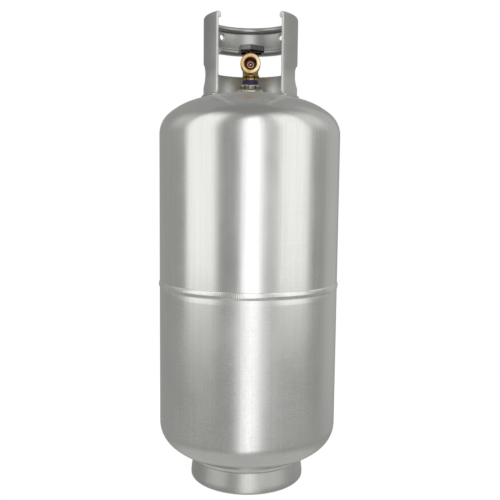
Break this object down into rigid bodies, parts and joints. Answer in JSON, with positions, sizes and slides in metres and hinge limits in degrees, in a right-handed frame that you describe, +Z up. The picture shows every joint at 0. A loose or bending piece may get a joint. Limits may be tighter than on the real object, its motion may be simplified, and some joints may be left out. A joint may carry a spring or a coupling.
{
  "type": "propane tank",
  "caption": "Upright welded aluminium gas tank with domed ends, foot ring, guard collar with hand holds, and brass service valve with a three-sided handwheel.",
  "frame": {"origin": "centre of the foot ring on the ground", "axes": "+Z up along the tank's axis, -Y out of the valve outlet and the collar's gap, +X to the right seen from the outlet side"},
  "size_m": [0.314, 0.314, 0.801],
  "materials": {
    "shell": "satin brushed, uncoated",
    "collar": "satin, uncoated, bright cut edges",
    "foot": "satin, uncoated",
    "weld": "fine rippled weld bead, dull",
    "boss": "machined",
    "brass": "forged and machined, semi-bright",
    "plunger": "dull machined",
    "retainer": "dull, tarnished dark",
    "handwheel": "moulded, satin",
    "sealant": "cured thread sealant, slightly rough",
    "rubber": "moulded nitrile rubber",
    "gasket": "pressed fibre and rubber",
    "spring": "drawn stainless wire",
    "steel": "stainless, plain",
    "cap": "moulded",
    "opd_plastic": "moulded acetal",
    "piston_plastic": "moulded acetal",
    "float_foam": "closed-cell nitrile foam"
  },
  "bodies": {
    "tank": {"upper_shell": "shell", "lower_shell": "shell", "girth_weld": "weld", "foot_ring": "foot", "foot_weld": "weld", "collar": "collar", "collar_weld": "weld", "valve_boss": "boss", "boss_weld": "weld", "thread_sealant": "sealant", "valve_body": "brass", "bonnet": "brass", "bonnet_gasket": "gasket", "outlet_retainer": "retainer", "outlet_spring": "spring", "relief_spring": "spring", "relief_adjuster": "brass", "relief_cap": "cap", "dip_tube": "steel", "opd_housing": "opd_plastic", "opd_spring": "spring", "float_pin": "steel"},
    "valve_wheel": {"stem_upper": "brass", "stem_orings": "rubber", "handwheel": "handwheel", "handwheel_screw": "steel"},
    "seat_carrier": {"stem_lower": "brass", "seat_disc": "rubber"},
    "check_valve": {"outlet_plunger": "plunger", "outlet_seal": "rubber"},
    "relief_valve": {"relief_poppet": "brass", "relief_seal": "rubber"},
    "bleed_washer": {"bleed_gasket": "gasket"},
    "bleed_plug": {"bleed_screw": "brass"},
    "stop_piston": {"opd_piston": "piston_plastic", "opd_seal": "rubber"},
    "float_lever": {"float_arm": "steel", "float": "float_foam"}
  },
  "joints": [
    {"name": "handwheel_turn", "type": "hinge", "parent": "tank", "child": "valve_wheel", "pos_m": [0, 0, 0.75], "axis": [0, 0, 1], "range_deg": [0, 720]},
    {"name": "seat_lift", "type": "slide", "parent": "valve_wheel", "child": "seat_carrier", "axis": [0, 0, 1], "range_m": [0, 0.003]},
    {"name": "outlet_check_press", "type": "slide", "parent": "tank", "child": "check_valve", "axis": [0, 1, 0], "range_m": [0, 0.003], "stiffness_N_per_m": 1500, "springref_m": -0.001, "deforming": ["outlet_spring"]},
    {"name": "relief_lift", "type": "slide", "parent": "tank", "child": "relief_valve", "axis": [0, 1, 0], "range_m": [0, 0.0025], "stiffness_N_per_m": 20000, "springref_m": -0.003, "deforming": ["relief_spring"]},
    {"name": "bleed_turn", "type": "hinge", "parent": "tank", "child": "bleed_washer", "pos_m": [0, 0, 0.706], "axis": [0.5, 0.866, 0], "range_deg": [0, 540]},
    {"name": "bleed_travel", "type": "slide", "parent": "bleed_washer", "child": "bleed_plug", "axis": [0.5, 0.866, 0], "range_m": [0, 0.0012]},
    {"name": "float_swing", "type": "hinge", "parent": "tank", "child": "float_lever", "pos_m": [0, 0, 0.566], "axis": [1, 0, 0], "range_deg": [0, 60]},
    {"name": "overfill_stop_lift", "type": "slide", "parent": "tank", "child": "stop_piston", "axis": [0, 0, 1], "range_m": [0, 0.004], "deforming": ["opd_spring"]}
  ],
  "couplings": [
    {"joint": "seat_lift", "follows": "handwheel_turn", "m_per_rad": 0.00023873},
    {"joint": "bleed_turn", "follows": "bleed_travel", "rad_per_m": 7853.9},
    {"joint": "overfill_stop_lift", "follows": "float_swing", "m_per_rad": 0.0038197}
  ]
}
